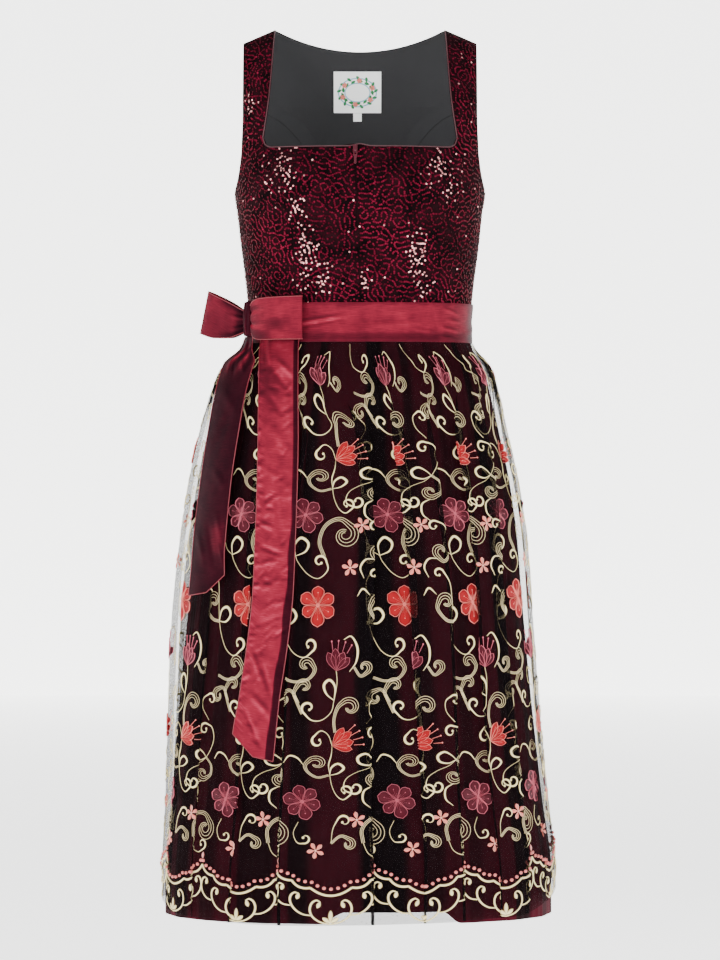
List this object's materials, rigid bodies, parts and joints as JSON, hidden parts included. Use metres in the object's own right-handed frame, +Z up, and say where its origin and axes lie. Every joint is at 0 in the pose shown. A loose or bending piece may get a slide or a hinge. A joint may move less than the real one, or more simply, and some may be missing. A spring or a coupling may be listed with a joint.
{
  "type": "dirndl dress",
  "caption": "Sleeveless dirndl in its worn shape: fitted bodice with a square neck, gathered skirt, and a net apron on a satin band tied in a side bow.",
  "frame": {"origin": "midway between the inner ends of the two shoulder seams, where the wearer's shoulders hold the dress", "axes": "+Z up, the front faces -Y, +X is the viewer's right seen from the front"},
  "size_m": [0.4545, 0.398, 1.023],
  "materials": {
    "velvet": "burgundy stretch velvet with small sequins",
    "lining": "matt anthracite cotton lining",
    "skirt": "matt dark red cotton satin",
    "net": "fine black net with coloured embroidery",
    "satin": "shot taffeta with a soft gloss",
    "label": "woven satin label",
    "tape": "knitted zip tape",
    "zip_metal": "lacquered die cast metal"
  },
  "bodies": {
    "dress": {"front_centre_left": "velvet", "front_centre_right": "velvet", "front_side_left": "velvet", "front_side_right": "velvet", "back_centre": "velvet", "back_side_left": "velvet", "back_side_right": "velvet", "lining_centre": "lining", "lining_side_left": "lining", "lining_side_right": "lining", "label": "label", "size_tag": "label", "zip_tape": "tape", "zip_slider": "zip_metal", "skirt_front": "skirt", "skirt_back": "skirt", "apron": "net", "sash_band": "satin", "bow_knot": "satin", "bow_loop_left": "satin", "bow_loop_right": "satin", "tail_short": "satin", "tail_long": "satin"},
    "zip_pull": {"zip_pull": "zip_metal"}
  },
  "joints": [
    {"name": "zip_pull_swing", "type": "hinge", "parent": "dress", "child": "zip_pull", "pos_m": [-0.00541, -0.11285, -0.14528], "axis": [-1, 0, 0], "range_deg": [0, 150]}
  ]
}
